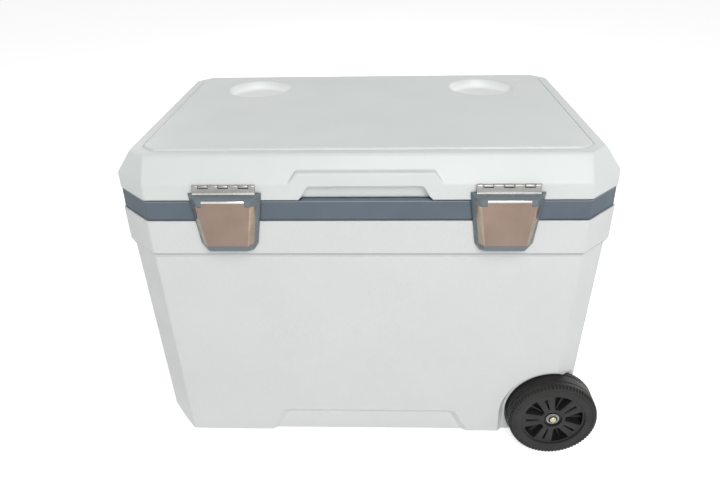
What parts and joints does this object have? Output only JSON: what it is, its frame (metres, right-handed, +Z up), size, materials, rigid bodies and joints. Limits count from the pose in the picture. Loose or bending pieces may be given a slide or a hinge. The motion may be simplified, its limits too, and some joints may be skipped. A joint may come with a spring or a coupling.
{
  "type": "wheeled cool box",
  "caption": "Wheeled insulated cool box used as a vaccine carrier: tapered foam-filled body, hinged lid with cup recesses, two leaf-hinged latches, wheels, telescopic pull handle and drain",
  "frame": {"origin": "on the floor under the middle of the box", "axes": "+X towards the wheel end, +Y towards the rear hinges, +Z up; the latches face -Y"},
  "size_m": [0.6479, 0.4374, 0.458],
  "materials": {
    "white_plastic": "satin",
    "liner_plastic": "satin",
    "foam": "matte",
    "grey_plastic": "satin",
    "bronze_plate": "satin",
    "hinge_steel": "satin",
    "axle_steel": "satin",
    "zinc_yellow": "satin",
    "black_plastic": "matte",
    "tyre_rubber": "matte",
    "foot_rubber": "matte",
    "seal_rubber": "matte",
    "rail_metal": "satin"
  },
  "bodies": {
    "body": {"outer_shell": "white_plastic", "inner_liner": "liner_plastic", "wall_foam": "foam", "rim_band": "grey_plastic", "rubber_feet": "foot_rubber", "foot_screws": "axle_steel", "axle": "axle_steel", "axle_washers": "hinge_steel", "axle_bolts": "zinc_yellow", "rear_hinge_body_leaves": "hinge_steel", "rear_hinge_body_screws": "hinge_steel", "rear_hinge_pins": "hinge_steel", "latch_keepers": "grey_plastic", "latch_keeper_screws": "hinge_steel", "pull_handle_outer_rails": "rail_metal", "pull_handle_upper_bracket": "grey_plastic", "pull_handle_lower_bracket": "grey_plastic", "pull_handle_screws": "hinge_steel", "carry_handle_brackets": "grey_plastic", "carry_handle_screws": "hinge_steel", "drain_bushing": "grey_plastic"},
    "lid": {"lid_shell": "white_plastic", "lid_foam": "foam", "lid_liner": "liner_plastic", "lid_gasket": "seal_rubber", "rear_hinge_lid_leaves": "hinge_steel", "rear_hinge_lid_screws": "hinge_steel", "latch_hinge_lid_leaves": "hinge_steel", "latch_hinge_pins": "hinge_steel", "latch_hinge_screws": "hinge_steel"},
    "latch_left": {"latch_left_frame": "grey_plastic", "latch_left_plate": "bronze_plate", "latch_left_leaf": "hinge_steel"},
    "latch_right": {"latch_right_frame": "grey_plastic", "latch_right_plate": "bronze_plate", "latch_right_leaf": "hinge_steel"},
    "wheel_front": {"wheel_front_hub": "black_plastic", "wheel_front_tyre": "tyre_rubber"},
    "wheel_rear": {"wheel_rear_hub": "black_plastic", "wheel_rear_tyre": "tyre_rubber"},
    "handle_mid": {"pull_handle_mid_rails": "rail_metal"},
    "handle_grip": {"pull_handle_inner_rails": "rail_metal", "pull_handle_grip": "grey_plastic"},
    "release_button": {"pull_handle_button": "black_plastic"},
    "carry_handle": {"carry_handle_bail": "grey_plastic", "carry_handle_grip": "black_plastic"},
    "drain_seal_ring": {"drain_seal": "seal_rubber"},
    "drain_cap": {"drain_plug": "grey_plastic"}
  },
  "joints": [
    {"name": "lid_hinge", "type": "hinge", "parent": "body", "child": "lid", "pos_m": [0, 0.2112, 0.40515], "axis": [-1, 0, 0], "range_deg": [0, 100]},
    {"name": "latch_left_hinge", "type": "hinge", "parent": "lid", "child": "latch_left", "pos_m": [-0.1671, -0.21, 0.4243], "axis": [-1, 0, 0], "range_deg": [0, 130]},
    {"name": "latch_right_hinge", "type": "hinge", "parent": "lid", "child": "latch_right", "pos_m": [0.1671, -0.21, 0.4243], "axis": [-1, 0, 0], "range_deg": [0, 130]},
    {"name": "wheel_front_spin", "type": "hinge", "parent": "body", "child": "wheel_front", "pos_m": [0.262, -0.1897, 0.062], "axis": [0, 1, 0], "continuous": true},
    {"name": "wheel_rear_spin", "type": "hinge", "parent": "body", "child": "wheel_rear", "pos_m": [0.262, 0.1897, 0.062], "axis": [0, 1, 0], "continuous": true},
    {"name": "handle_mid_slide", "type": "slide", "parent": "body", "child": "handle_mid", "axis": [0, 0, 1], "range_m": [0, 0.24]},
    {"name": "handle_grip_slide", "type": "slide", "parent": "handle_mid", "child": "handle_grip", "axis": [0, 0, 1], "range_m": [0, 0.24]},
    {"name": "release_button_press", "type": "slide", "parent": "handle_grip", "child": "release_button", "axis": [0, 0, -1], "range_m": [0, 0.004], "stiffness_N_per_m": 150},
    {"name": "carry_handle_swing", "type": "hinge", "parent": "body", "child": "carry_handle", "pos_m": [-0.31266, 0, 0.3124], "axis": [0, 1, 0], "range_deg": [0, 95]},
    {"name": "drain_plug_draw", "type": "slide", "parent": "body", "child": "drain_seal_ring", "axis": [-1, 0, 0], "range_m": [0, 0.016]},
    {"name": "drain_plug_turn", "type": "hinge", "parent": "drain_seal_ring", "child": "drain_cap", "pos_m": [-0.297, 0, 0.074], "axis": [-1, 0, 0], "range_deg": [0, 1440]}
  ],
  "couplings": [
    {"joint": "handle_grip_slide", "follows": "handle_mid_slide", "ratio": 1},
    {"joint": "drain_plug_turn", "follows": "drain_plug_draw", "rad_per_m": 1570.8}
  ]
}
